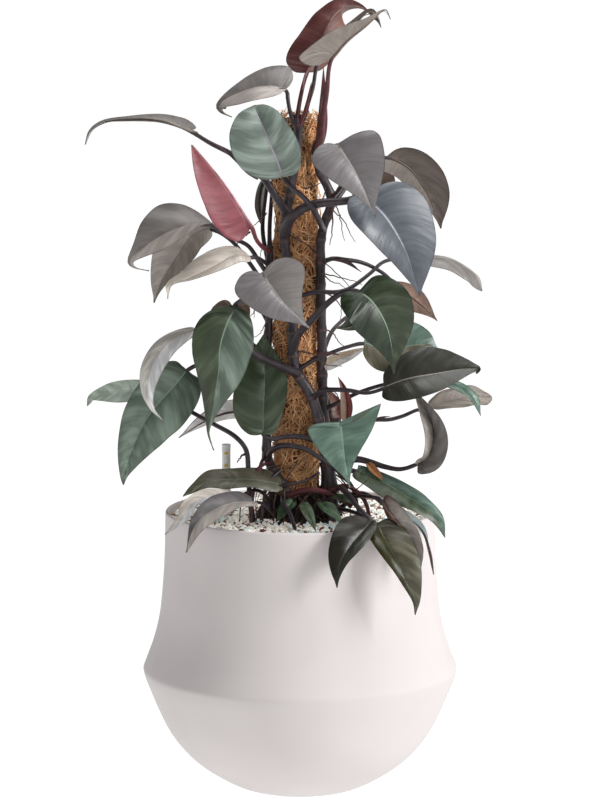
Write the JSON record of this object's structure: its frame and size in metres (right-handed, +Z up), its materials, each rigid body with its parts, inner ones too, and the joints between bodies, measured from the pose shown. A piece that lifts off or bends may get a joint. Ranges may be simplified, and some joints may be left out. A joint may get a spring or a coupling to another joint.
{
  "type": "potted climbing philodendron",
  "caption": "Climbing aroid house plant with green, grey and maroon heart-shaped leaves on a coir pole, in a white waisted planter with gravel and a water gauge.",
  "frame": {"origin": "centre of the flat foot that the pot stands on", "axes": "+Z up along the coir pole, -Y towards the front that the picture shows, +X to the right as seen from the front"},
  "size_m": [0.5185, 0.4048, 1.0041],
  "materials": {
    "pot_white": "smooth matte",
    "gravel": "loose angular grains",
    "peat": "rough, damp",
    "coir": "loose fibre",
    "stake_wood": "plain",
    "gauge_plastic": "satin",
    "stem": "waxy",
    "leaf_green": "velvety satin",
    "leaf_grey": "velvety satin",
    "leaf_bronze": "velvety satin",
    "leaf_red": "waxy satin"
  },
  "bodies": {
    "root": {"pot": "pot_white", "gravel_filling": "gravel", "root_ball": "peat", "pole_stake": "stake_wood", "coir_sleeve": "coir", "water_gauge": "gauge_plastic", "stem_front": "stem", "stem_right": "stem", "stem_left": "stem", "leaf_crown_1": "leaf_bronze", "leaf_crown_2": "leaf_grey", "leaf_crown_3": "leaf_grey", "leaf_upper_left_1": "leaf_grey", "leaf_upper_left_2": "leaf_green", "leaf_upper_left_3": "leaf_grey", "leaf_young_red": "leaf_red", "leaf_upper_right_1": "leaf_grey", "leaf_upper_right_2": "leaf_bronze", "leaf_upper_right_3": "leaf_grey", "leaf_left_1": "leaf_grey", "leaf_left_2": "leaf_grey", "leaf_left_3": "leaf_grey", "leaf_middle_1": "leaf_grey", "leaf_right_1": "leaf_grey", "leaf_right_2": "leaf_bronze", "leaf_right_3": "leaf_green", "leaf_right_4": "leaf_green", "leaf_right_5": "leaf_grey", "leaf_right_6": "leaf_grey", "leaf_right_7": "leaf_green", "leaf_right_8": "leaf_grey", "leaf_middle_2": "leaf_green", "leaf_young_sheath": "leaf_red", "leaf_left_4": "leaf_green", "leaf_left_5": "leaf_grey", "leaf_left_6": "leaf_green", "leaf_left_7": "leaf_green", "leaf_left_8": "leaf_bronze", "leaf_middle_3": "leaf_green", "leaf_behind_pole_strip": "leaf_grey", "leaf_low_1": "leaf_green", "leaf_low_2": "leaf_grey", "leaf_low_3": "leaf_grey", "leaf_low_4": "leaf_grey", "leaf_low_5": "leaf_green", "leaf_low_6": "leaf_bronze", "leaf_low_7": "leaf_bronze", "leaf_low_8": "leaf_green", "leaf_base_1": "leaf_green", "leaf_base_2": "leaf_green", "leaf_base_3": "leaf_green", "leaf_base_4": "leaf_green", "leaf_back_1": "leaf_green", "leaf_back_2": "leaf_green", "leaf_back_3": "leaf_green", "leaf_back_4": "leaf_green", "leaf_back_5": "leaf_green", "leaf_back_6": "leaf_green"}
  },
  "joints": []
}
